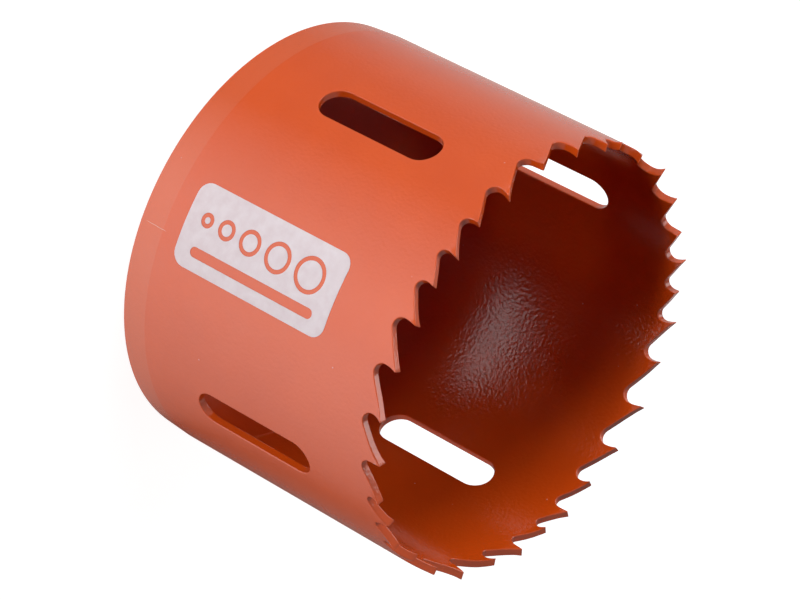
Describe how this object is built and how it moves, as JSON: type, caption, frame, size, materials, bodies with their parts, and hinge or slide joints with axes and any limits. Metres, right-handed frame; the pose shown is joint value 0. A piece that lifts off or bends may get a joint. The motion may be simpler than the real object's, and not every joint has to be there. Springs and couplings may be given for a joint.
{
  "type": "hole saw",
  "caption": "Painted steel hole saw: an open cup with set teeth round its mouth, slots in its wall, and a welded back plate with an arbor thread and drive-pin holes.",
  "frame": {"origin": "on the saw's axis, in the plane of its back face, at the centre of the circle of drive-pin holes", "axes": "+Z runs along the saw's axis from the back face to the teeth; +X and +Y each pass through the middle of a slot; the print is on the outside between -Y and +X"},
  "size_m": [0.0566, 0.0566, 0.042],
  "materials": {
    "orange_paint": "satin sprayed enamel"
  },
  "bodies": {
    "root": {"saw_body": "orange_paint", "back_plate": "orange_paint"}
  },
  "joints": []
}
